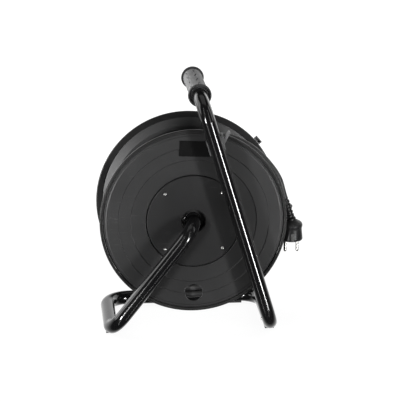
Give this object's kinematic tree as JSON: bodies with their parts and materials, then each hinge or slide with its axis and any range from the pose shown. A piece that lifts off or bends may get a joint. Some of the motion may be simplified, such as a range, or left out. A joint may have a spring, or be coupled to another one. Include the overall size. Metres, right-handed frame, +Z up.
{
  "type": "extension cord reel",
  "caption": "Cable drum on a bent tube stand with a carrying grip, lidded sockets, a crank knob, wound rubber cord and a mains plug parked at the rim.",
  "frame": {"origin": "on the floor, under the middle of the box round the stand, the drum and its clips", "axes": "+X right seen from the plain rear side, +Y towards the socket side along the drum's axis, +Z up"},
  "size_m": [0.3178, 0.205, 0.3915],
  "materials": {
    "painted_steel": "black gloss powder paint",
    "drum_plastic": "satin moulded",
    "black_plastic": "satin moulded",
    "grip_plastic": "satin grey",
    "cable_rubber": "matte",
    "foot_rubber": "matte",
    "zinc_steel": "bright zinc",
    "nickel_brass": "nickel plated",
    "bush_nylon": "natural"
  },
  "bodies": {
    "stand": {"axle_bolt": "zinc_steel", "axle_insert": "zinc_steel", "axle_washer": "zinc_steel", "foot_far_left": "foot_rubber", "foot_far_right": "foot_rubber", "foot_near_left": "foot_rubber", "foot_near_right": "foot_rubber", "foot_rivet_far_left": "zinc_steel", "foot_rivet_far_right": "zinc_steel", "foot_rivet_near_left": "zinc_steel", "foot_rivet_near_right": "zinc_steel", "frame_tube": "painted_steel", "grip_collar": "black_plastic", "grip_end_cap": "black_plastic", "grip_sleeve": "grip_plastic", "leg_hook": "black_plastic"},
    "drum": {"bend_relief": "black_plastic", "cord_clamp": "black_plastic", "cord_inner_layers": "cable_rubber", "cord_lead": "cable_rubber", "cord_outer_layer": "cable_rubber", "cover_screw_1": "zinc_steel", "cover_screw_2": "zinc_steel", "cover_screw_3": "zinc_steel", "cover_screw_4": "zinc_steel", "drum_core": "drum_plastic", "earth_contact_front": "nickel_brass", "earth_contact_rear": "nickel_brass", "front_bush": "bush_nylon", "front_flange": "drum_plastic", "hub_washer": "zinc_steel", "knob_pin": "zinc_steel", "lid_pin_1": "zinc_steel", "lid_pin_2": "zinc_steel", "lid_pin_3": "zinc_steel", "lid_spring_1": "zinc_steel", "lid_spring_2": "zinc_steel", "lid_spring_3": "zinc_steel", "panel_screw_1": "zinc_steel", "panel_screw_2": "zinc_steel", "panel_screw_3": "zinc_steel", "plug_body": "black_plastic", "plug_clip": "black_plastic", "plug_pin_left": "nickel_brass", "plug_pin_right": "nickel_brass", "rear_bush": "bush_nylon", "rear_cover": "drum_plastic", "rear_flange": "drum_plastic", "rim_clip": "black_plastic", "socket_insert_1": "black_plastic", "socket_insert_2": "black_plastic", "socket_insert_3": "black_plastic", "socket_panel": "black_plastic", "terminal_block": "bush_nylon", "thermal_cutout": "black_plastic"},
    "lid_1": {"socket_lid_1": "black_plastic"},
    "lid_2": {"socket_lid_2": "black_plastic"},
    "lid_3": {"socket_lid_3": "black_plastic"},
    "button": {"reset_button": "grip_plastic"},
    "knob": {"crank_knob": "black_plastic"}
  },
  "joints": [
    {"name": "drum_spin", "type": "hinge", "parent": "stand", "child": "drum", "pos_m": [-0.00648, -0.0615, 0.1775], "axis": [0, 1, 0], "continuous": true},
    {"name": "lid_hinge_1", "type": "hinge", "parent": "drum", "child": "lid_1", "pos_m": [-0.00648, 0.0725, 0.2468], "axis": [1, 0, 0], "range_deg": [0, 100], "stiffness_Nm_per_rad": 0.02, "springref_deg": -28.65},
    {"name": "lid_hinge_2", "type": "hinge", "parent": "drum", "child": "lid_2", "pos_m": [-0.0665, 0.0725, 0.14285], "axis": [-0.5, 0, 0.866], "range_deg": [0, 100], "stiffness_Nm_per_rad": 0.02, "springref_deg": -28.65},
    {"name": "lid_hinge_3", "type": "hinge", "parent": "drum", "child": "lid_3", "pos_m": [0.05354, 0.0725, 0.14285], "axis": [-0.5, 0, -0.866], "range_deg": [0, 100], "stiffness_Nm_per_rad": 0.02, "springref_deg": -28.65},
    {"name": "button_press", "type": "slide", "parent": "drum", "child": "button", "axis": [0, -1, 0], "range_m": [0, 0.002], "stiffness_N_per_m": 400, "springref_m": -0.002},
    {"name": "knob_spin", "type": "hinge", "parent": "drum", "child": "knob", "pos_m": [-0.10001, 0.09, 0.2315], "axis": [0, 1, 0], "continuous": true}
  ]
}
